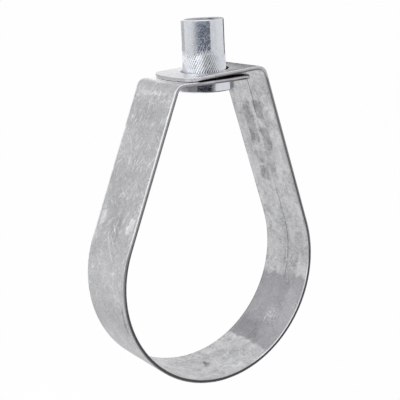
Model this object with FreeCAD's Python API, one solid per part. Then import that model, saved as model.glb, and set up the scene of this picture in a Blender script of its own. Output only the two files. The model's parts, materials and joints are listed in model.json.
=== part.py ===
import FreeCAD, Part
import math
import os
from FreeCAD import Vector

# Swivel ring hanger for a 2 in pipe, in millimetres.
# One steel strip is bent into a teardrop loop whose two flat ends overlap at the top, and a flanged nut stands
# through both ends. The nut screws on to a threaded rod, and the loop turns round the nut.
# The origin is on the nut's axis at its seat: the top of the flange, which carries the loop.
# +Z is up the nut's axis, Y runs along the pipe, and X is across the loop.

# The pipe and the rod that the hanger is made for
pipe_diameter = 60.3
pipe_clearance = 0.85
thread_minor_diameter = 7.94
thread_major_diameter = 9.53

# The strip that the loop is bent from
strip_width = 20.0
strip_thickness = 1.0
strip_edge_break = 0.12

# The loop, seen along the pipe: a ring at the bottom and two straight legs that close in towards the top.
# It hangs a little out of true: it leans about its seat, and its centre line passes beside the nut's axis.
pipe_drop = 53.25
leg_angle = 19.6
loop_lean = 3.4
loop_shift = 0.36
bend_radius = 2.0

# The two flat ends. The upper one springs up from its tip, which almost touches the lower one.
lower_reach = 10.7
upper_reach = 12.2
tip_gap = 0.17
spring_angle = 2.5
end_radius = 24.0
end_corner_radius = 3.0

# The swivel nut
flange_diameter = 16.35
flange_thickness = 2.65
flange_chamfer = 0.3
neck_diameter = 10.6
knurl_diameter = 12.0
knurl_end_chamfer = 0.15
collar_diameter = 11.7
collar_height = 2.5
collar_chamfer = 0.2
nut_height = 16.5
countersink_margin = 0.25

# Clearances between the two pieces
neck_clearance = 0.2
nut_play = 0.15
upper_hole_clearance = 0.6


def across(angle):
    """Unit vector in the XZ plane, at an angle in degrees from +X towards +Z."""
    turn = math.radians(angle)
    return Vector(math.cos(turn), 0, math.sin(turn))


def meeting(normal_1, distance_1, normal_2, distance_2):
    """Point where two lines of the XZ plane cross, each given by its normal and its distance from the origin."""
    area = normal_1.x * normal_2.z - normal_1.z * normal_2.x
    x = (distance_1 * normal_2.z - distance_2 * normal_1.z) / area
    z = (distance_2 * normal_1.x - distance_1 * normal_2.x) / area
    return Vector(x, 0, z)


def arc(centre, radius, angle_1, angle_2):
    """Arc of the XZ plane from one angle to another, the way they run."""
    middle = (angle_1 + angle_2) / 2
    points = [centre + across(angle) * radius for angle in (angle_1, middle, angle_2)]
    return Part.Arc(*points).toShape()


# Directions square to each straight stretch, pointing out of the loop, as angles from +X
ring_radius = pipe_diameter / 2 + pipe_clearance
lower_normal = 90.0
left_normal = 180.0 - leg_angle - loop_lean
right_normal = leg_angle - loop_lean
upper_normal = 90.0 + spring_angle

# The ring's centre, turned by the lean about the seat
ring_centre = across(180.0 - loop_lean) * loop_shift + across(-90.0 - loop_lean) * pipe_drop

# The two bends: each centre lies one bend radius inside both of the faces that the bend joins
upper_tip = Vector(-upper_reach, 0, strip_thickness + tip_gap)
left_distance = across(left_normal).dot(ring_centre) + ring_radius
right_distance = across(right_normal).dot(ring_centre) + ring_radius
upper_distance = across(upper_normal).dot(upper_tip)
left_bend = meeting(across(lower_normal), -bend_radius, across(left_normal), left_distance - bend_radius)
right_bend = meeting(across(right_normal), right_distance - bend_radius,
                     across(upper_normal), upper_distance - bend_radius)


def loop_line(height):
    """Edges along the loop from the lower end to the upper end, at a height above the strip's inner face."""
    left_arc = arc(left_bend, bend_radius + height, lower_normal, left_normal)
    ring_arc = arc(ring_centre, ring_radius + height, left_normal, right_normal + 360.0)
    right_arc = arc(right_bend, bend_radius + height, right_normal, upper_normal)
    left_leg = Part.LineSegment(left_arc.lastVertex().Point, ring_arc.firstVertex().Point).toShape()
    right_leg = Part.LineSegment(ring_arc.lastVertex().Point, right_arc.firstVertex().Point).toShape()
    return [left_arc, left_leg, ring_arc, right_leg, right_arc]


def joining(line_1, line_2, end):
    """Straight edge across the strip's thickness, between the first or the last points of two lines."""
    corners = [line[end].Vertexes[end].Point for line in (line_1, line_2)]
    return Part.LineSegment(*corners).toShape()


def bent_strip():
    """The strip round the loop without its flat ends."""
    inner = loop_line(0.0)
    outer = loop_line(strip_thickness)
    edges = inner + outer + [joining(inner, outer, 0), joining(inner, outer, -1)]
    section = Part.Face(Part.Wire(Part.sortEdges(edges)[0]))
    section.translate(Vector(0, -strip_width / 2, 0))
    return section.extrude(Vector(0, strip_width, 0))


def flat_end(root, tip, hole_diameter):
    """Flat end of the strip, lying on Z = 0 along +X: square at its root, rounded at its tip, holed at X = 0."""
    side = strip_width / 2
    end_centre = Vector(tip - end_radius, 0, 0)
    corner_rise = side - end_corner_radius
    corner_run = math.sqrt((end_radius - end_corner_radius) ** 2 - corner_rise ** 2)
    corner = end_centre + Vector(corner_run, corner_rise, 0)
    slope = math.atan2(corner_rise, corner_run)
    half_slope = (slope + math.pi / 2) / 2
    blend = end_centre + Vector(math.cos(slope), math.sin(slope), 0) * end_radius
    shoulder = corner + Vector(math.cos(half_slope), math.sin(half_slope), 0) * end_corner_radius
    side_end = corner + Vector(0, end_corner_radius, 0)
    far = [Vector(root, side, 0), side_end, shoulder, blend]
    near = [Vector(point.x, -point.y, 0) for point in far]
    edges = [
        Part.LineSegment(near[0], near[1]).toShape(),
        Part.Arc(near[1], near[2], near[3]).toShape(),
        Part.Arc(near[3], Vector(tip, 0, 0), far[3]).toShape(),
        Part.Arc(far[3], far[2], far[1]).toShape(),
        Part.LineSegment(far[1], far[0]).toShape(),
        Part.LineSegment(far[0], near[0]).toShape(),
    ]
    blank = Part.Face(Part.Wire(edges)).extrude(Vector(0, 0, strip_thickness))
    return blank.cut(Part.makeCylinder(hole_diameter / 2, strip_thickness))


def break_rims(sheet):
    """Take the sharpness off every edge of the sheet that was sheared or punched, with a narrow chamfer."""
    rims = []
    for edge in sheet.Edges:
        first, last = edge.ParameterRange
        along_pipe = abs(edge.tangentAt((first + last) / 2).y) > 0.999
        straight = isinstance(edge.Curve, (Part.Line, Part.LineSegment))
        across_thickness = edge.Length < 1.1 * strip_thickness
        if not across_thickness and not (straight and along_pipe):
            rims.append(edge)
    return sheet.makeChamfer(strip_edge_break, rims)


def make_band():
    """The folded strip: bent loop, lower end under the nut's shoulder, and upper end over the barrel."""
    lower = flat_end(left_bend.x, lower_reach, neck_diameter + 2 * neck_clearance)

    # The upper end lies the other way, and tilts about its tip. Its hole stays on the nut's axis.
    tilt = math.radians(spring_angle)
    axis_point = Vector(0, 0, upper_tip.z + upper_reach * math.tan(tilt))
    root_along = (right_bend + across(upper_normal) * bend_radius - axis_point).Length
    upper = flat_end(-root_along, upper_reach / math.cos(tilt), knurl_diameter + 2 * upper_hole_clearance)
    upper.rotate(Vector(0, 0, 0), Vector(0, 0, 1), 180)
    upper.rotate(Vector(0, 0, 0), Vector(0, 1, 0), -spring_angle)
    upper.translate(axis_point)
    band = bent_strip().fuse([lower, upper]).removeSplitter()
    return break_rims(band)


def make_swivel_nut():
    """The turned nut: flange, neck that runs in the lower end, knurled barrel, and a plain collar round the mouth."""
    bore = thread_minor_diameter / 2
    mouth = thread_major_diameter / 2 + countersink_margin
    sink = mouth - bore
    shoulder_height = strip_thickness + nut_play
    knurl = knurl_diameter / 2
    collar = collar_diameter / 2
    knurl_step = knurl - collar
    knurl_top = nut_height - collar_height
    flange = flange_diameter / 2
    profile = [
        (bore, -flange_thickness + sink),
        (mouth, -flange_thickness),
        (flange - flange_chamfer, -flange_thickness),
        (flange, -flange_thickness + flange_chamfer),
        (flange, -flange_chamfer),
        (flange - flange_chamfer, 0.0),
        (neck_diameter / 2, 0.0),
        (neck_diameter / 2, shoulder_height),
        (knurl - knurl_end_chamfer, shoulder_height),
        (knurl, shoulder_height + knurl_end_chamfer),
        (knurl, knurl_top - knurl_step),
        (collar, knurl_top),
        (collar, nut_height - collar_chamfer),
        (collar - collar_chamfer, nut_height),
        (mouth, nut_height),
        (bore, nut_height - sink),
    ]
    corners = [Vector(radius, 0, height) for radius, height in profile]
    return Part.Face(Part.makePolygon(corners + corners[:1])).revolve(Vector(0, 0, 0), Vector(0, 0, 1), 360)


def write_part(name, shape):
    """Write one piece, and say what it measures."""
    box = shape.BoundBox
    print(name, "solids", len(shape.Solids), "valid", shape.isValid(), "volume", round(shape.Volume, 2))
    print("   x", round(box.XMin, 2), round(box.XMax, 2), "z", round(box.ZMin, 2), round(box.ZMax, 2))
    shape.exportStep("parts/" + name + ".step")


os.makedirs("parts", exist_ok=True)
write_part("band", make_band())
write_part("swivel_nut", make_swivel_nut())
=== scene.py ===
# %% [markdown]
# # Swivel ring hanger
# A strip of galvanised steel is bent into a teardrop loop that carries a pipe. A knurled nut stands through
# its two flat ends and screws on to a threaded rod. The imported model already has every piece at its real
# size. This lesson gives those pieces their finish, cuts the knurl and the thread, and lights them as for a
# catalogue.

# %% Load the frame
import json
import math

import bmesh
import bpy
import numpy as np
from mathutils import Matrix, Vector


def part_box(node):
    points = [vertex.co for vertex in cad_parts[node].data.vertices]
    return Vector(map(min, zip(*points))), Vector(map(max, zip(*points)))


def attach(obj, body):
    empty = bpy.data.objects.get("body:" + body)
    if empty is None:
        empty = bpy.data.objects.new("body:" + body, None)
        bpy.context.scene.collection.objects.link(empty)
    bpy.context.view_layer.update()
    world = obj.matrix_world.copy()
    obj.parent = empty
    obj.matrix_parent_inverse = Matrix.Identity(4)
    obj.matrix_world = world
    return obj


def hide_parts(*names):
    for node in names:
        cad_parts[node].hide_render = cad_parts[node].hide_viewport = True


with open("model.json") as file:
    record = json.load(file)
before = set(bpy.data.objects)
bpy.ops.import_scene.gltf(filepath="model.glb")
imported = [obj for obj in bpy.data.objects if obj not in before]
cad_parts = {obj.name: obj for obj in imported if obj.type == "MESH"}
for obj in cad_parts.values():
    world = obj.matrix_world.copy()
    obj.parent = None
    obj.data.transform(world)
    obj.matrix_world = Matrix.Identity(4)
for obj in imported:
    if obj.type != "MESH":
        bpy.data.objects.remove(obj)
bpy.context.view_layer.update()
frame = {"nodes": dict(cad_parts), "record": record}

MM = 0.001

# %% [markdown]
# ## Sizes
# A finish that follows the strip has to know where the strip runs. Typing its sizes again would let the two
# drift apart, so they are measured on the frame: a mount gives the ring, a box gives the strip's width and
# thickness, and the largest flat facet on each side gives the slope of a leg or a plate.

# %% Measure the ring
mounts = {mount["name"]: mount for mount in frame["record"]["mounts"]}
ring_centre = Vector(mounts["pipe_seat"]["pos_m"]) / MM
ring_radius = mounts["pipe_seat"]["dims"]["r_mm"]
band_low, band_high = [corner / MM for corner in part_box("band")]
strip_thickness = ring_centre.z - ring_radius - band_low.z
strip_half_width = band_high.y
print("ring radius", round(ring_radius, 2), "mm, strip", round(strip_thickness, 2), "by",
      round(2 * strip_half_width, 2), "mm")


# %% Measure the flat stretches
def largest_facet(node, keep):
    """Normal and centre, in millimetres, of a node's largest facet among those that keep() accepts."""
    facets = [(f.area, tuple(f.normal), tuple(f.center / MM)) for f in frame["nodes"][node].data.polygons]
    area, normal, centre = max(f for f in facets if keep(Vector(f[1]), Vector(f[2])))
    return Vector(normal), Vector(centre)


def faces_out(normal, centre):
    """True on the outside of the loop, away from its sheared edges."""
    return abs(normal.y) < 0.1 and normal.dot(centre - ring_centre) > 0


above_lower_end = 1.1 * strip_thickness
left_normal = largest_facet("band", lambda n, c: faces_out(n, c) and n.x < -0.5)[0]
right_normal = largest_facet("band", lambda n, c: faces_out(n, c) and n.x > 0.5)[0]
upper_normal, upper_point = largest_facet("band", lambda n, c: n.z > 0.9 and c.z > above_lower_end)
upper_distance = upper_normal.dot(upper_point) - strip_thickness

# Directions out of the ring are angles from its lowest point, positive towards the right leg
left_turn = math.atan2(left_normal.x, -left_normal.z)
right_turn = math.atan2(right_normal.x, -right_normal.z)
print("legs leave the ring at", round(math.degrees(left_turn), 1), "and", round(math.degrees(right_turn), 1))

# %% [markdown]
# ## Camera
# The camera comes before any finish, so that each render can be set beside the photograph. It stands to the
# left of the hanger and a little above it. A long lens keeps the two legs nearly parallel, as product
# photographers do.

# %% Place the camera
view_target = Vector((-2.444, 1.6039, -34.3523)) * MM
view_distance = 283.98 * MM
view_turn = math.radians(33.351)
view_tilt = math.radians(14.6631)
view_roll = math.radians(-2.745)

camera = bpy.data.objects.new("camera", bpy.data.cameras.new("camera"))
bpy.context.scene.collection.objects.link(camera)
camera.data.sensor_width = 36.0
camera.data.lens = 89.787
aim = (Matrix.Rotation(-view_turn, 3, "Z") @ Matrix.Rotation(math.pi / 2 - view_tilt, 3, "X")
       @ Matrix.Rotation(view_roll, 3, "Z"))
camera.matrix_world = Matrix.Translation(view_target + aim @ Vector((0, 0, view_distance))) @ aim.to_4x4()
camera.data.clip_start = 1 * MM
bpy.context.scene.camera = camera
print("camera at", [round(value / MM, 1) for value in camera.matrix_world.translation], "mm")

# %% [markdown]
# ## A short way to write nodes
# A finish is a web of nodes, and node by node it is hard to read. The class below wraps an output socket, so
# that Python's own signs add the Math nodes, and a mask reads like the sum that it is. Every other kind of
# node comes from one method, `add`, which takes the kind, its settings and what goes into its sockets.


# %% Wires and finishes
class Wire:
    """An output socket. Arithmetic on it adds Math nodes and gives the wire that comes out."""

    def __init__(self, finish, socket):
        self.finish = finish
        self.socket = socket

    def __add__(self, other):
        return self.finish.maths("ADD", self, other)

    def __sub__(self, other):
        return self.finish.maths("SUBTRACT", self, other)

    def __rsub__(self, other):
        return self.finish.maths("SUBTRACT", other, self)

    def __mul__(self, other):
        return self.finish.maths("MULTIPLY", self, other)

    def __truediv__(self, other):
        return self.finish.maths("DIVIDE", self, other)

    def __gt__(self, other):
        return self.finish.maths("GREATER_THAN", self, other)

    def __lt__(self, other):
        return self.finish.maths("LESS_THAN", self, other)

    def __abs__(self):
        return self.finish.maths("ABSOLUTE", self)

    __radd__ = __add__
    __rmul__ = __mul__


class Finish:
    """A material, or the world, whose nodes are added one call at a time."""

    def __init__(self, owner):
        owner.use_nodes = True
        self.owner = owner
        self.tree = owner.node_tree
        self.tree.nodes.clear()

    def add(self, kind, settings, inputs, output=0):
        """A node of one kind: first its settings, then values or wires for its sockets. Gives an output."""
        node = self.tree.nodes.new("ShaderNode" + kind)
        for name, value in settings.items():
            setattr(node, name, value)
        for name, value in inputs.items():
            if isinstance(value, Wire):
                self.tree.links.new(value.socket, node.inputs[name])
            else:
                node.inputs[name].default_value = value
        return Wire(self, node.outputs[output]) if node.outputs else None

    def maths(self, operation, *values):
        return self.add("Math", {"operation": operation}, dict(enumerate(values)))

    def tell(self, step_done):
        print(step_done, "done:", len(self.tree.nodes), "nodes in", self.owner.name)


# %% [markdown]
# A few shapes of number come back in every finish: a soft step, a window that is 1 inside a stretch, a cloud
# of noise, and a grey with a tint. They are given names here.


# %% Steps, windows and clouds
def step(value, low, high):
    """0 below low, 1 above high, and a smooth rise between them."""
    limits = {"Value": value, "From Min": low, "From Max": high}
    return value.finish.add("MapRange", {"interpolation_type": "SMOOTHSTEP"}, limits)


def window(value, centre, half, soft):
    """1 within half of the centre, falling to 0 over a soft border."""
    return 1 - step(abs(value - centre), half - soft / 2, half + soft / 2)


def cloud(place, scale, detail=2.0, roughness=0.5, swirl=0.0):
    """Noise from 0 to 1, with about `scale` blobs for each unit of the place. A swirl makes it marbling."""
    inputs = {"Vector": place, "Scale": scale, "Detail": detail, "Roughness": roughness, "Distortion": swirl}
    return place.finish.add("TexNoise", {"noise_dimensions": "3D"}, inputs)


def point(x, y, z):
    """Three numbers, one of them at least a wire, as a place."""
    finish = next(part.finish for part in (x, y, z) if isinstance(part, Wire))
    return finish.add("CombineXYZ", {}, {0: x, 1: y, 2: z})


# %% Greys and blends
def grey(value, tint=(1.0, 1.0, 1.0)):
    """A plain grey as a colour with alpha, with a slight tint."""
    return tuple(value * part for part in tint) + (1.0,)


def tinted(value, green, blue):
    """A wire of greys as a colour, whose green and blue are so many times its red."""
    return value.finish.add("CombineColor", {}, {"Red": value, "Green": value * green, "Blue": value * blue})


def blend(factor, first, second):
    """The first colour where the factor is 0, the second where it is 1."""
    return factor.finish.add("Mix", {"data_type": "RGBA"}, {0: factor, 6: first, 7: second}, 2)


# %% [markdown]
# ## Stage
# The hanger is photographed on plain white, hanging clear of the ground. The floor is pale, and far enough
# below for its shadow to stay faint. More light would make it white too, but would bleach the metal. So an
# emission is mixed into it, which only the camera and reflections see.

# %% Lay the floor
floor_drop = 60.0
floor_reach = 4000.0 * MM
glow_share = 0.92
floor_level = (band_low.z - floor_drop) * MM
floor_corners = [(side * floor_reach, end * floor_reach, floor_level)
                 for side, end in ((-1, -1), (1, -1), (1, 1), (-1, 1))]
floor_mesh = bpy.data.meshes.new("floor")
floor_mesh.from_pydata(floor_corners, [], [(0, 1, 2, 3)])
floor = bpy.data.objects.new("floor", floor_mesh)
bpy.context.scene.collection.objects.link(floor)

paper = Finish(bpy.data.materials.new("white_paper"))
seen = paper.add("LightPath", {}, {}, "Is Camera Ray") + paper.add("LightPath", {}, {}, "Is Glossy Ray")
lit = paper.add("BsdfDiffuse", {}, {"Color": grey(0.96)})
glow = paper.add("Emission", {}, {"Color": grey(1.0), "Strength": 1.0})
mixed = paper.add("MixShader", {}, {0: seen * glow_share, 1: lit, 2: glow})
paper.add("OutputMaterial", {}, {"Surface": mixed})
floor_mesh.materials.append(paper.owner)
print("floor", round(floor_drop), "mm under the ring")

# %% [markdown]
# ## Light
# Metal shows what stands around it, so lighting it means placing things to be reflected. The room is white
# all round. One large soft box stands on the left, about 26 degrees up. It brightens the edges and the knurl
# facets that lean that way, which a lamp at the camera would leave flat.

# %% Light the room
world = bpy.data.worlds.new("studio")
bpy.context.scene.world = world
room = Finish(world)
seen = room.add("LightPath", {}, {}, "Is Camera Ray") + room.add("LightPath", {}, {}, "Is Glossy Ray")
air = room.add("Background", {}, {"Color": grey(0.9), "Strength": 1.0})
backdrop = room.add("Background", {}, {"Color": grey(1.0), "Strength": 1.0})
room.add("OutputWorld", {}, {"Surface": room.add("MixShader", {}, {0: seen, 1: air, 2: backdrop})})


def soft_box(name, turn, rise, distance, size, brightness):
    """A square lamp that faces the loop. The turn and the rise are degrees round and above the nut's seat."""
    turn, rise = math.radians(turn), math.radians(rise)
    lamp = bpy.data.objects.new(name, bpy.data.lights.new(name, "AREA"))
    bpy.context.scene.collection.objects.link(lamp)
    lamp.data.shape = "SQUARE"
    lamp.data.size = size * MM
    lamp.data.energy = brightness * math.pi * (size * MM) ** 2
    lamp.location = Vector((math.cos(turn), math.sin(turn), math.tan(rise))).normalized() * distance * MM
    lamp.rotation_euler = lamp.location.to_track_quat("Z", "Y").to_euler()
    lamp.visible_camera = False
    print(name, "at", [round(value / MM) for value in lamp.location])


soft_box("left_soft_box", -195.0, 26.0, 420.0, 360.0, 0.5)


# %% [markdown]
# Photographers shape a shiny piece with cards, grey or black sheets that only show in it. These cards do the
# same: they are seen in reflections alone, and neither show in the picture nor shade the floor.
#
# - The front cards draw the dark stripe down the nut's barrel. They are pale on the left, darken in steps
#   towards the front, and end at a sharp border on the right, with a paler card beyond it.
# - The low cards stand under them and are what the flange mirrors.
# - A card low in front on the right greys the strip's sheared edges, and one low behind on the left greys
#   the outside of the ring.
# - A dark card and a hazy one close behind on the right tone the plates there, and a bright panel behind on
#   the left makes their left end shine.
# - A bright disc overhead lights the nut's mouth and whatever is rough and leans up.


# %% Make a card
def card(name, turn_from, turn_to, distances, low, high, tone, tint=(1.0, 1.0, 1.0)):
    """A card bent about the nut's axis, which only reflections see. Angles run from +X, heights from the
    seat. The distances are those of its low and its high edge: where they differ, the card slants."""
    facet_count = 16
    turns = np.radians(np.linspace(turn_from, turn_to, facet_count + 1))
    corners = [(away * math.cos(turn) * MM, away * math.sin(turn) * MM, level * MM)
               for away, level in zip(distances, (low, high)) for turn in turns]
    facets = [(i, i + 1, i + facet_count + 2, i + facet_count + 1) for i in range(facet_count)]
    mesh = bpy.data.meshes.new(name)
    mesh.from_pydata(corners, [], facets)
    made = bpy.data.objects.new(name, mesh)
    bpy.context.scene.collection.objects.link(made)
    felt = Finish(bpy.data.materials.new(name))
    shine = felt.add("Emission", {}, {"Color": grey(tone, tint), "Strength": 1.0})
    felt.add("OutputMaterial", {}, {"Surface": shine})
    mesh.materials.append(felt.owner)
    made.visible_camera = False
    made.visible_diffuse = False
    made.visible_shadow = False
    print("card", name, "tone", tone)


# %% Stand the front cards
close_by = (100.0, 100.0)
in_front = (200.0, 200.0)
far_off = (400.0, 400.0)
barrel_low, barrel_high = -22.0, 6.0
shades = [(-190.0, 0.88), (-178.0, 0.72), (-168.0, 0.56), (-158.0, 0.38), (-149.0, 0.24), (-140.0, 0.165),
          (-128.0, 0.135), (-84.0, 0.0)]
for number, ((turn_from, tone), (turn_to, _)) in enumerate(zip(shades, shades[1:])):
    blueness = (1 - tone) ** 3
    tint = (1 - 0.22 * blueness, 1.0, 1 + 0.63 * blueness)
    card("front_card_%d" % number, turn_from, turn_to, in_front, barrel_low, barrel_high, tone, tint)
card("right_card", -84.0, -46.0, in_front, barrel_low, barrel_high, 0.88)

# %% Stand the other cards
card("front_low_card", -166.0, -97.0, in_front, -46.0, barrel_low, 0.0)
card("right_low_card", -97.0, -84.0, in_front, -42.0, barrel_low, 0.30)
card("left_low_card", -216.0, -166.0, in_front, -40.0, barrel_low, 0.20)
card("front_right_card", -84.0, -30.0, (60.0, 200.0), -140.0, -60.0, 0.50)
card("left_back_card", 57.0, 119.0, far_off, -60.0, -14.0, 0.60)
card("back_card", 16.0, 53.0, close_by, -12.0, 15.0, 0.10)
card("back_haze", 16.0, 54.0, close_by, 15.0, 42.0, 0.42)
card("back_glow", 57.0, 100.0, far_off, 14.0, 110.0, 1.20)
card("top_glow", -180.0, 180.0, (160.0, 1.0), 400.0, 401.0, 1.35)

# %% [markdown]
# ## Galvanised strip
# The strip was dipped in zinc before it was cut and bent. Its faces are dull and cloudy, with scratches from
# the press and from other hangers in the box. Its long edges were sheared afterwards: half of such an edge
# is burnished by the blade, and the other half is torn, dark bare steel.
#
# The frame's own mesh keeps its exact shape, and only gets a finish. That finish needs places along the
# strip. The mesh could be unwrapped for them, but the nodes can also work them out from the ring's centre,
# which needs no map: `loop_along` is the distance round the loop from its lowest point, positive towards the
# right leg, and `height` is how far a point lies above the strip's inner face.

# %% Find places on the strip
strip = Finish(bpy.data.materials.new("galvanised_strip"))
place = strip.add("TexCoord", {}, {}, "Object")
place = strip.add("VectorMath", {"operation": "SCALE"}, {"Vector": place, "Scale": 1 / MM})
normal = strip.add("TexCoord", {}, {}, "Normal")
x, y, z = [strip.add("SeparateXYZ", {}, {0: place}, axis) for axis in "XYZ"]
normal_x, normal_z = [strip.add("SeparateXYZ", {}, {0: normal}, axis) for axis in "XZ"]

from_centre_x = x - ring_centre.x
from_centre_z = z - ring_centre.z
turn = strip.maths("ARCTAN2", from_centre_x, ring_centre.z - z)
turn = strip.maths("MINIMUM", strip.maths("MAXIMUM", turn, left_turn), right_turn)
turn_sine = strip.maths("SINE", turn)
turn_cosine = strip.maths("COSINE", turn)
loop_height = from_centre_x * turn_sine - from_centre_z * turn_cosine - ring_radius
loop_along = turn * ring_radius + from_centre_x * turn_cosine + from_centre_z * turn_sine
strip.tell("places along the loop")

# %% [markdown]
# Above the bends the strip turns into the two flat ends. The lower end is level, and the upper one slopes a
# little. Near a bend, a point's height comes from its heights above the leg and above the end together, as
# round a corner.

# %% Heights over the flat ends
bend_radius = 2.0
ends_begin = -0.5
lower_end_limit = 12.0
on_lower_end = (z < 1.08 * strip_thickness) * (x < lower_end_limit) * (z > ends_begin)
left_of_centre = (z < ends_begin) * (x < ring_centre.x)
left_side = on_lower_end + left_of_centre
upper_height = x * upper_normal.x + z * upper_normal.z - upper_distance
end_height = z * left_side + upper_height * (1 - left_side)
leg_part = strip.maths("MAXIMUM", loop_height + bend_radius, 0.0)
end_part = strip.maths("MAXIMUM", end_height + bend_radius, 0.0)
corner = strip.maths("SQRT", leg_part * leg_part + end_part * end_part)
height = corner - bend_radius
outside = step(height, 0.4 * strip_thickness, 0.6 * strip_thickness)
inside = 1 - outside
strip.tell("heights over the strip")

# %% [markdown]
# The same sums give the strip's own thickness direction. A face looks along it, a sheared edge looks square
# to it, and the narrow rim between them looks half way.

# %% Tell faces, edges and rims apart
out_x = (leg_part * turn_sine + (end_part * upper_normal.x) * (1 - left_side)) / corner
out_z = (end_part - leg_part * turn_cosine) / corner
facing = abs(normal_x * out_x + normal_z * out_z)
sheared = 1 - step(facing, 0.3, 0.5)
rim = step(facing, 0.45, 0.6) * (1 - step(facing, 0.8, 0.92))
strip.tell("faces, edges and rims")

# %% [markdown]
# Marks that came with use are put where they are on the real one, so a patch needs a place, a size and a
# border. Noise pushes the border about, so that it doesn't look ruled. Marks of one kind are written as
# rows, which are added up.

# %% Place patches on the strip
wander = (cloud(place, 0.3, 3.0, 0.6) - 0.5) * 5.0


def patch(along, across, half_length, half_width, soft, ragged, slant=0.0):
    """A soft-edged patch on the strip, its border moved by noise. A slant leans its two ends."""
    lengthways = window(loop_along + (y - across) * slant + wander * ragged, along, half_length, soft)
    sideways = window(y + wander * ragged, across, half_width, soft)
    return lengthways * sideways


def patches(*rows):
    """Patches added up. Each row is a strength, and then what patch() takes."""
    return sum(patch(*row[1:]) * row[0] for row in rows)


def near_edge(across, far, near):
    """0 farther than `far` from the strip's edge, 1 nearer to it than `near`."""
    return step(across, strip_half_width - far, strip_half_width - near)


# %% [markdown]
# The zinc is mottled at three sizes: broad clouds from the bath, blotches of a few millimetres, and a fine
# grain. The inside has more of it, and part of that is marbling, which is swirled and has sharper borders
# than plain noise gives. Thin wisps run through it, light on the outside where it was scuffed, dark on the
# inside where dirt stayed. A wisp is a contour line of a cloud, and a second cloud breaks it into pieces.


# %% Clouds and wisps in the zinc
def wisps(size, width, cover):
    """Thin wandering lines, `size` to a millimetre, drawn only where a broader cloud is above `cover`."""
    line = 1 - step(abs(cloud(place, size, 2.0, 0.6, 0.8) - 0.5), 0.2 * width, width)
    return line * step(cloud(place, 0.16, 2.0, 0.5), cover, cover + 0.1)


on_left_leg = step(0 - loop_along, 56.0, 66.0)
clouds = cloud(place, 0.10, 3.0, 0.6) - 0.5
blotches = cloud(place, 0.38, 3.0, 0.65) - 0.5
marbling = step(cloud(place, 0.20, 4.0, 0.62, 1.4), 0.42, 0.58) - 0.5
grain = cloud(place, 1.9, 3.0, 0.7) - 0.5
mottle = (clouds * (0.20 + inside * 0.12) + blotches * (0.16 + inside * 0.14)
          + marbling * (0.03 + inside * 0.05 - on_left_leg * 0.015))
mottle = mottle + wisps(0.32, 0.035, 0.42) * outside * 0.09 - wisps(0.42, 0.045, 0.40) * inside * 0.12
strip.tell("mottled zinc")

# %% [markdown]
# Low on the right, inside the loop, a dark zone is painted on: a painted reflection, darker than the zinc
# around it, even and a little lilac. It has one straight border and one ragged one. It is paler along the
# front, darker next to the straight border, and fine flecks stand near its middle.

# %% Painted dark reflection low on the right
reflection_start = math.radians(28.3) * ring_radius
reflection_end = math.radians(71.8) * ring_radius
# Painted reflection: a dark zone between two places round the loop, on the inside only.
painted_dark_reflection = (step(loop_along + wander * 0.5, reflection_start - 0.3, reflection_start + 0.5)
        * (1 - step(loop_along + y * 0.12 + wander * 1.2, reflection_end - 0.5, reflection_end + 0.8)) * inside)
painted_dark_reflection = painted_dark_reflection * (1 - patch(40.6, -3.0, 3.4, 1.7, 1.2, 0.8) * 0.85)
flecks = step(cloud(place, 1.9, 2.0, 0.6), 0.52, 0.66)
reflection_flecked_patch = patch(25.8, -1.4, 2.2, 2.6, 2.0, 0.8) * (0.25 + flecks * 1.5)
reflection_paler_front = patches((0.50, 28.5, -7.4, 10.5, 2.8, 3.0, 1.0),
                    (0.35, 32.0, -6.0, 3.2, 3.0, 2.4, 1.0))
reflection_darker_border = patches((1.0, 18.4, 4.4, 3.8, 4.6, 1.6, 1.2),
                    (0.8, 17.0, -1.2, 2.6, 2.4, 1.6, 1.0))
strip.tell("gripped patch")

# %% [markdown]
# One grey, `tone`, gathers all of this, and each step below adds its share or takes it away. The outside is
# a little darker than the inside, most of all on the left leg.

# %% Start the tone of the faces
plain_zinc = 0.535
tone = plain_zinc - outside * (0.05 + on_left_leg * 0.025)
tone = tone + mottle * (1 - painted_dark_reflection * 0.6) + grain * (0.5 - painted_dark_reflection * 0.22)
# The painted dark reflection takes its share of the tone here.
tone = tone - painted_dark_reflection * (0.165 + marbling * 0.03) * (1 - reflection_flecked_patch * 0.8) * (1 - reflection_paler_front * 0.65)
tone = tone - painted_dark_reflection * reflection_darker_border * 0.055
strip.tell("plain zinc")

# %% [markdown]
# Handling left spots. At both borders of the left leg a place is rubbed bright, and the leg's foot is a
# little paler. Dark streaks lie at the lowest point of the loop, where drips ran together, and fine ones run
# along the strip there.

# %% Rubbed spots and dark streaks
rubbed = patches((1.0, -68.0, -7.6, 1.6, 1.2, 0.35, 0.2),
                 (1.0, -66.4, -6.3, 1.1, 1.0, 0.35, 0.2),
                 (1.0, -67.3, 7.4, 2.0, 1.15, 0.35, 0.12, -0.5))
rubbed = strip.maths("MINIMUM", rubbed, 1.0) * outside
pale = patches((1.0, -54.8, -2.0, 2.6, 3.4, 3.0, 1.2),
               (1.0, -52.0, 1.0, 6.5, 8.5, 5.0, 1.2)) * outside
streaks = patches((1.0, -42.0, -8.3, 3.4, 0.5, 0.7, 0.5),
                  (1.6, 0.2, 1.3, 0.7, 1.3, 1.2, 0.5),
                  (0.6, -0.9, -0.4, 1.0, 0.8, 1.5, 0.9),
                  (0.7, -4.6, -1.4, 1.6, 0.8, 1.5, 0.9),
                  (0.6, -1.2, -5.2, 1.6, 0.7, 1.5, 0.9),
                  (0.4, 2.8, 4.6, 1.2, 1.0, 1.5, 0.9),
                  (0.3, -0.2, -0.8, 2.2, 2.6, 2.4, 1.2))
drawn_out = cloud(point(loop_along * 0.12, y * 0.8, z * 0.8), 1.0, 4.0, 0.65) - 0.5
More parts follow.
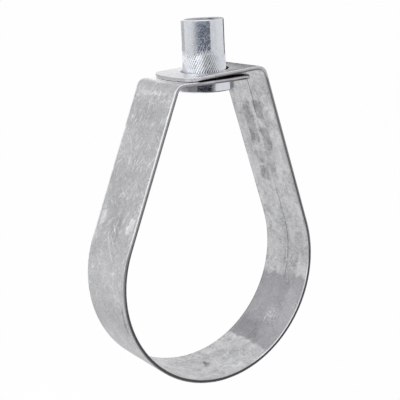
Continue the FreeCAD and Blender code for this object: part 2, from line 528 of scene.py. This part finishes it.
fine_streaks = step(drawn_out, 0.06, 0.16) * window(loop_along, 0.0, 10.0, 8.0) * inside
tone = tone + rubbed * 0.16 + pale * 0.035 - streaks * 0.20 - fine_streaks * 0.06
strip.tell("spots and streaks")

# %% [markdown]
# A roller left a thin dark line up the inside of the right leg. It is broken, fades half way up and comes
# back stronger near the top. A little above its start the zinc is speckled with dirt, and dark smears lie
# beside it higher up.

# %% Line and smears inside the right leg
line_place = y + wander * 0.10 + step(loop_along, 86.0, 98.0) * 0.7
line = window(line_place, -0.35, 0.16, 0.3) * inside
line = line * step(loop_along, 37.5, 39.5) * (1 - window(loop_along, 82.5, 11.0, 8.0) * 0.7)
line = line * (1 + step(loop_along, 91.0, 94.0) * 0.8)
line = line * step(cloud(point(loop_along * 0.3, 0.0, 0.0), 1.0, 2.0), 0.15, 0.40)
line = line + window(y, 0.9, 0.2, 0.4) * window(loop_along, 44.5, 2.6, 1.5) * inside * 0.7
dirty = window(y, 0.2, 1.3, 1.2) * window(loop_along, 50.0, 7.0, 5.0) * inside
dirty = dirty * step(cloud(place, 2.2, 2.0), 0.5, 0.6)
smears = patches((1.0, 83.8, -2.4, 3.6, 1.9, 0.9, 0.35),
                 (1.0, 93.0, -2.3, 2.8, 1.9, 0.9, 0.35),
                 (1.0, 88.7, 3.2, 6.6, 2.0, 0.9, 0.4),
                 (0.5, 73.0, -1.7, 3.0, 1.3, 0.9, 0.5),
                 (1.0, 71.8, 3.2, 2.1, 2.0, 0.9, 0.4),
                 (0.7, 77.0, 3.6, 2.0, 1.6, 0.9, 0.4)) * inside
tone = tone - line * 0.22 - dirty * 0.10 - smears * (0.155 + marbling * 0.08 - blotches * 0.25)
strip.tell("line and smears")

# %% [markdown]
# Other hangers in the box left thin scratches on the outside. A scratch is noise drawn out along one
# direction, of which only a contour line is kept, and a second noise breaks it into lengths. A few long ones
# are drawn singly. They are fainter where the left leg meets the bend.


# %% Scratches on the outside
def scratches(angle, seed, cover):
    """Fine, nearly straight lines that lie at an angle to the strip, in degrees."""
    sine, cosine = math.sin(math.radians(angle)), math.cos(math.radians(angle))
    down = loop_along * cosine + y * sine
    aside = y * cosine - loop_along * sine
    contour = abs(cloud(point(down * 0.06, aside * 0.7, seed), 1.0, 2.0, 0.5) - 0.5)
    lengths = cloud(point(down * 0.16, aside * 0.45, seed + 5.0), 1.0, 2.0, 0.5)
    return (1 - step(contour, 0.006, 0.035)) * step(lengths, cover, cover + 0.06)


def stroke(from_along, from_across, to_along, to_across, half_width):
    """A single line between two places on the strip."""
    length = math.hypot(to_along - from_along, to_across - from_across)
    cosine, sine = (to_along - from_along) / length, (to_across - from_across) / length
    down = (loop_along - from_along) * cosine + (y - from_across) * sine
    aside = (y - from_across) * cosine - (loop_along - from_along) * sine
    return window(down, length / 2, length / 2, 0.8) * window(aside + wander * 0.12, 0.0, half_width, 0.25)


scratched = scratches(38.0, 1.0, 0.53) + scratches(-50.0, 21.0, 0.56) + scratches(4.0, 41.0, 0.55)
scratched = scratched * (0.10 + on_left_leg * 0.07) * (1 - window(loop_along, -104.0, 5.0, 4.0) * 0.6)
for strength, *ends_and_width in [(0.13, -78.0, -4.6, -73.6, -1.9, 0.12),
                                  (0.13, -84.6, 6.0, -82.3, 8.4, 0.18),
                                  (0.13, -62.8, 2.4, -56.6, -3.2, 0.14),
                                  (0.13, -57.2, 6.2, -54.9, 2.8, 0.14),
                                  (0.07, -91.0, -5.4, -80.0, -5.4, 0.08),
                                  (0.07, -96.0, 7.5, -84.0, 7.5, 0.08)]:
    scratched = scratched + stroke(*ends_and_width) * strength
tone = tone + scratched * outside
strip.tell("scratches")

# %% [markdown]
# Where the left leg was bent away from the flat end, the zinc cracked. It looks frosted there, and two
# bright hairlines wander across it. Noise alone would not lead them across the strip, so each is a narrow
# window along the loop that a cloud pushes about.

# %% Frost and cracks at the left bend
frost_line = abs(cloud(place, 0.75, 3.0, 0.6, 1.6) - 0.5)
frost = (1 - step(frost_line, 0.012, 0.07)) * window(loop_along + wander * 0.5, -102.0, 2.2, 2.5) * outside
wiggle = (cloud(place, 0.8, 3.0, 0.65) - 0.5) * 3.6
upper_crack = window(loop_along + wiggle, -103.3, 0.35, 0.5)
upper_crack = upper_crack * (window(y, -2.2, 3.2, 2.0) + window(y, 2.8, 4.5, 3.0) * 0.4)
lower_crack = window(loop_along - wiggle, -101.6, 0.3, 0.5)
lower_crack = lower_crack * (window(y, -6.0, 2.5, 2.0) + window(y, 7.6, 1.0, 1.0))
cracks = (upper_crack + lower_crack * 0.7) * outside
tone = tone + frost * 0.14 + cracks * 0.15 - window(loop_along, -97.5, 6.0, 4.0) * outside * 0.03
strip.tell("frost and cracks")

# %% [markdown]
# Between the two flat ends the gap lies in shade, and that shade is painted on. Dark metal would not do:
# seen along its face it shines. So the painted shade is plain black, and a mask mixes it over the zinc. It is
# thickest under the front and back of the upper end, and it darkens the right side of the upper hole, where
# the nut's shadow falls.

# %% Painted shade between the ends
past_hole_rim = 6.75
from_axis = strip.maths("SQRT", x * x + y * y)
in_hole = (from_axis < past_hole_rim) * (z > 0.5)
lower_top = left_side * step(height, 0.80 * strip_thickness, 0.95 * strip_thickness)
upper_under = 1 - step(height, 0.05 * strip_thickness, 0.2 * strip_thickness)
gap_faces = lower_top + (1 - left_side) * (z > 0.9) * upper_under
shaded_length = step(x, -9.4, -7.8) * (1 - step(x, 8.0, 9.5))
# Painted shade: the faces inside the gap go black, except at the left of the hole.
grease = shaded_length * gap_faces * (1 - (x < 0.0) * in_hole)
grease = grease * (1 - step(x, 0.0, 7.0) * (1 - window(abs(y), 7.3, 2.2, 2.0)) * 0.6)
grease = strip.maths("MAXIMUM", grease, in_hole * (x > 1.0))
strip.tell("grease")

# %% [markdown]
# At the left the upper tip all but touches the lower end. There the gap, the left side of the upper hole and
# a strip beside the tip are painted pale, a painted light against the gap's shade; the first two are less
# metallic.

# %% Painted light at the tip
tip_rounding = 24.0
band_points = frame["nodes"]["band"].data.vertices
tip_x = min(vertex.co.x for vertex in band_points if vertex.co.z > above_lower_end * MM) / MM
from_tip_centre_x = x - tip_x - tip_rounding
from_tip_centre = strip.maths("SQRT", from_tip_centre_x * from_tip_centre_x + y * y)
under_tip = (1 - shaded_length) * gap_faces * (x < 0.0) * (from_tip_centre < tip_rounding + 1.0)
painted_gap_light = strip.maths("MAXIMUM", under_tip, in_hole * (x < 0.0))
tops = step(normal_z, 0.85, 0.95) * (z > ends_begin)
painted_light_beside_tip = left_side * tops * (1 - step(from_tip_centre, tip_rounding + 1.0, tip_rounding + 2.6))
# Painted light in the gap at the tip, at the left of the hole and beside the tip.
tone = tone + painted_gap_light * 0.4 + painted_light_beside_tip * (x < 0.0) * (1 - painted_gap_light) * 0.30
print("upper tip at x", round(tip_x, 2))

# %% [markdown]
# The tops of the flat ends are smoother than the legs, and painted a little lighter for the grazing light
# they catch. A painted highlight lies in front of the nut on the left, and a painted reflection lies to its
# right.

# %% Painted light on the tops of the flat ends
# Painted light on the tops, less of it towards the left.
tone = tone + tops * (0.08 - step(0 - x, 4.0, 9.0) * 0.07)
painted_glint_front_left = window(x + y * 0.4, -8.2, 1.6, 2.5) * step(0 - y, 3.0, 6.0)
painted_reflection_right_of_nut = step(x, 2.0, 5.0) * (1 - step(from_axis, 7.0, 10.5))
# Painted highlight in front of the nut, and painted reflection to its right.
tone = tone + tops * (1 - left_side) * painted_glint_front_left * 0.22 + tops * painted_reflection_right_of_nut * 0.2
strip.tell("tops")

# %% [markdown]
# Last come broad stretches that are a shade paler or darker than the zinc around them. Only patches put them
# where they are.

# %% Broad paler and darker stretches
tone = tone + outside * patches((-0.060, -65.0, 0.0, 3.5, 3.0, 4.0, 1.0),
                                (-0.035, -40.0, 0.0, 4.0, 12.0, 5.0, 1.2),
                                (-0.020, -73.0, 0.0, 3.0, 8.0, 4.0, 1.2))
tone = tone + inside * patches((0.060, -11.0, 0.0, 3.6, 12.0, 5.0, 1.0),
                               (0.050, 5.0, -6.4, 2.6, 3.6, 2.0, 1.4),
                               (0.040, 11.0, 0.0, 5.0, 9.0, 4.0, 1.0),
                               (-0.035, 52.5, 1.0, 2.4, 8.0, 3.0, 1.4),
                               (0.030, 62.5, 0.0, 3.0, 10.0, 4.0, 1.4),
                               (0.100, 88.0, -7.0, 6.0, 1.8, 2.5, 0.8))
tone = tone + step(loop_along, 40.0, 60.0) * inside * 0.02
strip.tell("broad stretches")

# %% [markdown]
# A face is different again along its borders. The blade rolled the outer corner of the left leg over a
# little, and the highlight that this rounded corner catches is painted on, as is one along the front border
# of the dark reflection. A painted shade darkens the inner face's back border all round, and its front border
# up the right leg.

# %% Borders of the faces
on_top = step(z, -0.8, 0.3)
reflection_rim_highlight = window(loop_along, 28.0, 17.0, 6.0) * inside * (y < 0.0)
painted_rolled_edge_highlight = near_edge(abs(y), 0.7, 0.3) * outside * on_left_leg * (1 - on_top)
# Painted highlights on the rolled corner of the left leg and along the dark reflection's front border.
tone = tone + painted_rolled_edge_highlight * 0.34 + reflection_rim_highlight * near_edge(abs(y), 0.45, 0.2) * 0.3
# Painted shade along the inner face's borders.
tone = tone - near_edge(y, 0.6, 0.25) * inside * 0.12
tone = tone - near_edge(0 - y, 0.55, 0.2) * inside * step(loop_along, 48.0, 60.0) * 0.18
strip.tell("borders")

# %% [markdown]
# A sheared edge is torn next to the inner face and burnished next to the outer one, and the line between
# them wanders. Low on the ring the edge is nearly all torn. At the left of the plates the upper end's edge
# is painted bright, most of all round its corners, as a painted light against the gap's shade. The lower
# end's edge is dark there.

# %% Sheared edges
low_down = step(0 - z, 50.0, 62.0)
unevenness = (cloud(point(loop_along * 0.9, y, 0.0), 1.0, 2.0) - 0.5) * 0.4
torn_line = 0.50 + low_down * 0.2 - on_top * 0.08 + unevenness
torn = (1 - step(height - torn_line, -0.05, 0.05)) * near_edge(abs(y), 0.2, 0.1)
at_left = on_top * (1 - step(x, -9.0, -4.0))
at_lower_left = at_left * left_side
at_upper_left = at_left - at_lower_left
torn_tone = 0.11 + on_left_leg * 0.07 + step(abs(loop_along), 66.0, 86.0) * 0.03 + on_top * 0.05
# Painted light on the upper end's edge at the left.
torn_tone = torn_tone + at_upper_left * 0.20 + at_lower_left * 0.02 - left_side * step(x, 1.0, 7.0) * 0.12
burnished_tone = 0.30 + on_left_leg * 0.12 + on_top * 0.20 - at_upper_left * 0.10 - at_lower_left * 0.22
# The painted light of the gap reaches its sheared edges too.
edge_tone = burnished_tone + torn * (torn_tone - burnished_tone) + painted_gap_light * 0.4
# Painted light round the corners of the upper tip.
edge_tone = edge_tone + at_upper_left * step(abs(y), 6.0, 9.0) * (1 - step(x, -9.0, -7.0)) * 0.26
strip.tell("sheared edges")

# %% [markdown]
# Each rim is a narrow line between a face and an edge that catches the light. Its tone adds a painted
# highlight, brightest outside on the left leg, along the painted dark reflection and at the upper end's left.

# %% Rims
# Painted highlight on the rims.
rim_tone = 0.42 + (on_left_leg * (1 - on_top) * 0.56 + on_top * 0.32) * outside + reflection_rim_highlight * 0.5
rim_tone = rim_tone + (at_upper_left * 0.5 - at_lower_left * 0.22) * inside + at_lower_left * outside * 0.2
strip.tell("rims")

# %% [markdown]
# The tones become colours: zinc is a touch blue, the painted dark reflection a touch lilac, and bare steel
# warmer. The grain and the blotches also raise the surface a little. The upper end sags before its bend, and
# its solid is flat, so a smooth dip in the bump hints at that.

# %% Put the strip's finish together
# The painted dark reflection is tinted a little lilac.
reflection_lilac = painted_dark_reflection * (1 - reflection_paler_front * 0.8)
face_colour = tinted(tone, 1.005 - reflection_lilac * 0.012, 1.03 + reflection_lilac * 0.025)
edge_colour = tinted(edge_tone, 0.975, 1.03)
rim_colour = tinted(rim_tone, 1.0, 1.02)
colour = blend(rim, blend(sheared, face_colour, edge_colour), rim_colour)
roughness = 0.40 + blotches * 0.2 - rubbed * 0.08 - tops * 0.16
sag = strip.maths("MAXIMUM", x - 8.0, 0.0) * (z > 0.5)
bumps = grain * 0.6 + blotches + marbling * 0.3 - sag * sag * 0.6
relief = strip.add("Bump", {}, {"Height": bumps, "Strength": 0.3, "Distance": 0.08 * MM})
# Where the gap's light is painted, the zinc is less metallic.
zinc = strip.add("BsdfPrincipled", {}, {"Base Color": colour, "Metallic": 1 - painted_gap_light * 0.8,
                                        "Roughness": roughness, "Normal": relief})
# Plain black for the painted shade in the gap.
painted_gap_black = strip.add("BsdfDiffuse", {}, {"Color": grey(0.03)})
strip.add("OutputMaterial", {}, {"Surface": strip.add("MixShader", {}, {0: grease, 1: zinc, 2: painted_gap_black})})
for slot in frame["nodes"]["band"].material_slots:
    slot.material = strip.owner
strip.tell("strip finish")

# %% [markdown]
# ## Swivel nut
# The nut is turned from round bar. Its barrel is rolled with a diamond knurl, pressed deepest at the foot,
# and a 3/8-16 thread is cut right through. The frame has it as a plain turned solid. A knurl could be
# painted as bump, but up close its outline would stay smooth, so the diamonds and the thread are modelled.
#
# The nut's outline is read from the corner circles of the frame's own solid.


# %% Read the nut's outline
def corner_circles(node):
    """Height and radius of every circle of corners of a turned node, from the bottom up, in millimetres."""
    points = [vertex.co / MM for vertex in frame["nodes"][node].data.vertices]
    return sorted({(round(p.z, 3), round(p.xy.length, 3)) for p in points})


circles = corner_circles("swivel_nut")
nut_bottom, nut_top = circles[0][0], circles[-1][0]
mouth_radius = circles[0][1]
bore_radius = min(radius for level, radius in circles)
knurl_radius = max(radius for level, radius in circles if level > 0.5)
outline = []
for here in sorted({level for level, radius in circles}):
    radii = [radius for level, radius in circles if level == here and radius >= mouth_radius]
    last = outline[-1][0] if outline else mouth_radius
    outline += [(radius, here) for radius in sorted(radii, key=lambda radius: abs(radius - last))]
print("outline", outline)
print("bore", bore_radius, "knurl", knurl_radius)

# %% [markdown]
# The knurl is a lattice of diamonds. Each tooth is four columns of points wide, so every groove and every
# crest runs through points of the mesh, and quads are split along the grooves. The tool ran a little out of
# true: one set of grooves is deeper than the other, one side is pressed lighter, and the pattern fades into
# the plain bar higher up on one side than on the other.


# %% Shape the outside
teeth = 56
columns = 4 * teeth
angles = np.arange(columns) * 2 * math.pi / columns
tooth_pitch = 2 * math.pi * knurl_radius / teeth
diamond_height = tooth_pitch * math.tan(math.radians(61.0))
groove_depth = 0.19
shallow_share = 0.3
fade_from, fade_tilt, fade_length = 0.35, 0.08, 0.30
highest_side = math.radians(160.0)
lightest_side, light_reach, light_share = math.radians(193.0), math.radians(30.0), 0.65
foot, head = [level for radius, level in outline if radius == knurl_radius]
bar_radius = outline[outline.index((knurl_radius, head)) + 1][0]


def zigzag(value):
    """0 at whole numbers, 1 half way between them."""
    return 1 - np.abs(2 * (value - np.floor(value)) - 1)


def barrel_radii(level):
    """Radii round the barrel at one height: diamonds at the foot, fading into the plain bar at the head."""
    share = (level - foot) / (head - foot)
    fade = np.clip((share - fade_from - fade_tilt * np.cos(angles - highest_side)) / fade_length, 0, 1)
    light = np.clip(1.5 - np.abs(angles - lightest_side) / light_reach, 0, 1)
    strength = (1 - fade * fade * (3 - 2 * fade)) * (1 - light_share * light)
    around = angles / (2 * math.pi) * teeth
    rise = (level - foot) / diamond_height
    shallow = (1 - shallow_share) + shallow_share * zigzag(around + rise)
    diamond = np.minimum(zigzag(around - rise), shallow)
    return bar_radius + strength * (knurl_radius - bar_radius - groove_depth * (1 - diamond))


# %% Stack the rows of the outside
outer_rows = []
for radius, level in outline:
    if (radius, level) == (knurl_radius, head):
        continue
    outer_rows.append((np.full(columns, radius), np.full(columns, level)))
    if (radius, level) == (knurl_radius, foot):
        row_height = diamond_height / 4
        for row in range(1, int((head - foot) / row_height)):
            here = foot + row * row_height
            outer_rows.append((barrel_radii(here), np.full(columns, here)))
print("knurl", teeth, "teeth,", round(tooth_pitch, 2), "mm apart,", len(outer_rows), "rows")

# %% [markdown]
# The thread's rows climb with the helix, one pitch a turn, and each row is a fixed place on the thread's
# profile: crest, flank, root, flank. Wherever the countersink at a mouth is wider than the thread, the wall
# follows the cone, and that is how a real thread starts. Rows that run past an end are held at it, and
# points that land together are merged.

# %% Cut the thread
thread_pitch = 25.4 / 16
major_radius = 9.525 / 2
thread_depth = major_radius - bore_radius
root_flat = thread_pitch / 8
flank = thread_depth * math.tan(math.radians(30.0))
crest_flat = thread_pitch - root_flat - 2 * flank
end_margin = 0.03
profile = [(0.0, 0.0), (0.5 * crest_flat, 0.0), (crest_flat, 0.0)]
for share in (1 / 3, 2 / 3, 1.0):
    profile.append((crest_flat + share * flank, share * thread_depth))
for share in (0.0, 1 / 3, 2 / 3):
    profile.append((crest_flat + flank + root_flat + share * flank, (1 - share) * thread_depth))
inner_rows = []
for turn_number in range(-1, int((nut_top - nut_bottom) / thread_pitch) + 2):
    for rise, depth in profile:
        levels = nut_bottom + (turn_number + np.arange(columns + 1) / columns) * thread_pitch + rise
        levels = np.where(levels < nut_bottom + end_margin, nut_bottom, levels)
        levels = np.where(levels > nut_top - end_margin, nut_top, levels)
        cone = mouth_radius - np.minimum(levels - nut_bottom, nut_top - levels)
        inner_rows.append((np.maximum(bore_radius + depth, cone), levels))
print("thread pitch", thread_pitch, "crest", round(crest_flat, 3), "rows", len(inner_rows))


# %% [markdown]
# Both walls are grids of points, so one helper turns a list of rows into faces. The outside closes round the
# barrel, and the thread closes with the same points one pitch higher, which merging takes care of.


# %% Turn rows into faces
def add_grid(shape, rows, closed, inward):
    """Rows of (radii, heights) round the axis as triangles, split along corners whose numbers add up even."""
    rings = []
    for radii, levels in rows:
        around = np.arange(len(radii)) * 2 * math.pi / columns
        rings.append([shape.verts.new((r * math.cos(a) * MM, r * math.sin(a) * MM, h * MM))
                      for r, a, h in zip(radii, around, levels)])
    for row in range(len(rings) - 1):
        low, high = rings[row], rings[row + 1]
        for column in range(len(low) if closed else len(low) - 1):
            other = (column + 1) % len(low)
            corners = [low[column], low[other], high[other], high[column]]
            if inward:
                corners.reverse()
            even = (row + column) % 2 == (1 if inward else 0)
            first = corners if even else corners[1:] + corners[:1]
            shape.faces.new((first[0], first[1], first[2]))
            shape.faces.new((first[0], first[2], first[3]))


# %% Join the two walls
merge_distance = 0.0005 * MM
sliver_length = 0.0002 * MM
shape = bmesh.new()
add_grid(shape, outer_rows, True, False)
add_grid(shape, inner_rows, False, True)
bmesh.ops.remove_doubles(shape, verts=shape.verts, dist=merge_distance)
bmesh.ops.dissolve_degenerate(shape, edges=shape.edges, dist=sliver_length)
open_edges = sum(1 for edge in shape.edges if len(edge.link_faces) != 2)
nut_mesh = bpy.data.meshes.new("knurled_nut")
shape.to_mesh(nut_mesh)
shape.free()
for face in nut_mesh.polygons:
    face.use_smooth = True
nut_mesh.set_sharp_from_angle(angle=math.radians(25.0))
nut = bpy.data.objects.new("knurled_nut", nut_mesh)
bpy.context.scene.collection.objects.link(nut)
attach(nut, "nut")
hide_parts("swivel_nut")
print("nut", len(nut_mesh.polygons), "triangles,", open_edges, "open edges")

# %% [markdown]
# Bright zinc plating is smoother and bluer than the strip's dip. It is a little hazy, and fine specks stand
# in it. Faint turning lines run round it. The thread is rougher, and the bore gets a painted shade. A single
# even shine would look like chrome, so three clouds of different sizes vary it.

# %% Plating
plating = Finish(bpy.data.materials.new("zinc_plated_steel"))
place = plating.add("TexCoord", {}, {}, "Object")
place = plating.add("VectorMath", {"operation": "SCALE"}, {"Vector": place, "Scale": 1 / MM})
x, y, z = [plating.add("SeparateXYZ", {}, {0: place}, axis) for axis in "XYZ"]
from_axis = plating.maths("SQRT", x * x + y * y)
haze = cloud(place, 0.7, 4.0, 0.6)
specks = cloud(place, 2.4, 2.0, 0.6)
turning = cloud(point(from_axis * 9.0, z * 9.0, 0.0), 1.0, 2.0, 0.6)
shine = 0.64 + (haze - 0.5) * 0.22 + (specks - 0.5) * 0.18 + (turning - 0.5) * 0.06
in_bore = 1 - step(from_axis, mouth_radius - 0.06, mouth_radius + 0.02)
plating.tell("plating")

# %% [markdown]
# The knurl is painted lighter on its left and darker across its middle and right, a painted light and shade,
# and a painted shade darkens its grooves right of the middle, with a few dark spots. `aside` measures across
# the nut for this, from its lit side to its shaded side.

# %% Painted light and shade on the knurl
shade_axis_turn = math.radians(33.351)
aside = x * math.cos(shade_axis_turn) - y * math.sin(shade_axis_turn)
knurled = (1 - step(z, 6.0, 8.5)) * (z > strip_thickness)
in_groove = step(knurl_radius - from_axis, 0.05, 0.16) * knurled
# Painted light and shade across the knurl.
painted_knurl_light_and_shade = 0.36 - step(aside, -3.2, 0.2) * 0.47 + step(aside, 2.4, 4.6) * 0.18
# Painted shade in the grooves, with dark spots.
painted_groove_shade = window(aside, 1.2, 1.6, 2.0) * 0.30 + step(aside, 1.5, 3.5) * 0.10
spots = step(cloud(place, 1.5, 2.0, 0.6), 0.53, 0.60) * window(aside, 0.6, 2.2, 1.5)
# Painted light on the knurl, painted shade in its grooves and in the bore.
shine = shine * (1 + knurled * painted_knurl_light_and_shade - in_groove * (painted_groove_shade + spots * 0.4) - in_bore * 0.35)
plating.tell("wear and dirt")

# %% [markdown]
# Where the tool ran out, short dull scuffs cross above the knurl. They only change how rough the plating is,
# because in a shiny surface a scuff shows as a blurred reflection, not as another colour.


# %% Scuffs above the knurl
around_barrel = plating.maths("ARCTAN2", y, x) * knurl_radius


def scuffs(lean, seed):
    """Short dull lines round the barrel, at an angle in degrees to its foot."""
    sine, cosine = math.sin(math.radians(lean)), math.cos(math.radians(lean))
    down = around_barrel * cosine + z * sine
    across = around_barrel * sine - z * cosine
    return step(cloud(point(down * 0.7, across * 3.0, seed), 1.0, 3.0, 0.6), 0.54, 0.62)


scuffed = plating.maths("MAXIMUM", scuffs(61.0, 3.0), scuffs(-61.0, 9.0))
scuffed = scuffed * (1 - step(z, 9.5, 14.0)) * (z > strip_thickness)
roughness = 0.12 + (haze - 0.5) * 0.10 + step(specks, 0.48, 0.66) * 0.06 + in_bore * 0.2 + scuffed * 0.28
plating.tell("scuffs")

# %% [markdown]
# The shine becomes a slightly blue grey. A fine bump breaks up the reflections, as the skin of a plated piece
# does, and the modelled knurl and thread need no more than that.

# %% Put the nut's finish together
colour = tinted(shine, 1.03, 1.09)
relief = plating.add("Bump", {}, {"Height": haze + specks * 0.3, "Strength": 0.4, "Distance": 0.06 * MM})
shader = plating.add("BsdfPrincipled", {}, {"Base Color": colour, "Metallic": 1.0,
                                            "Roughness": roughness, "Normal": relief})
plating.add("OutputMaterial", {}, {"Surface": shader})
nut_mesh.materials.append(plating.owner)
plating.tell("nut finish")

# %% [markdown]
# ## Colour
# The view transform is Standard, so a colour comes out as it is written.

# %% Finish
bpy.context.scene.view_settings.view_transform = "Standard"
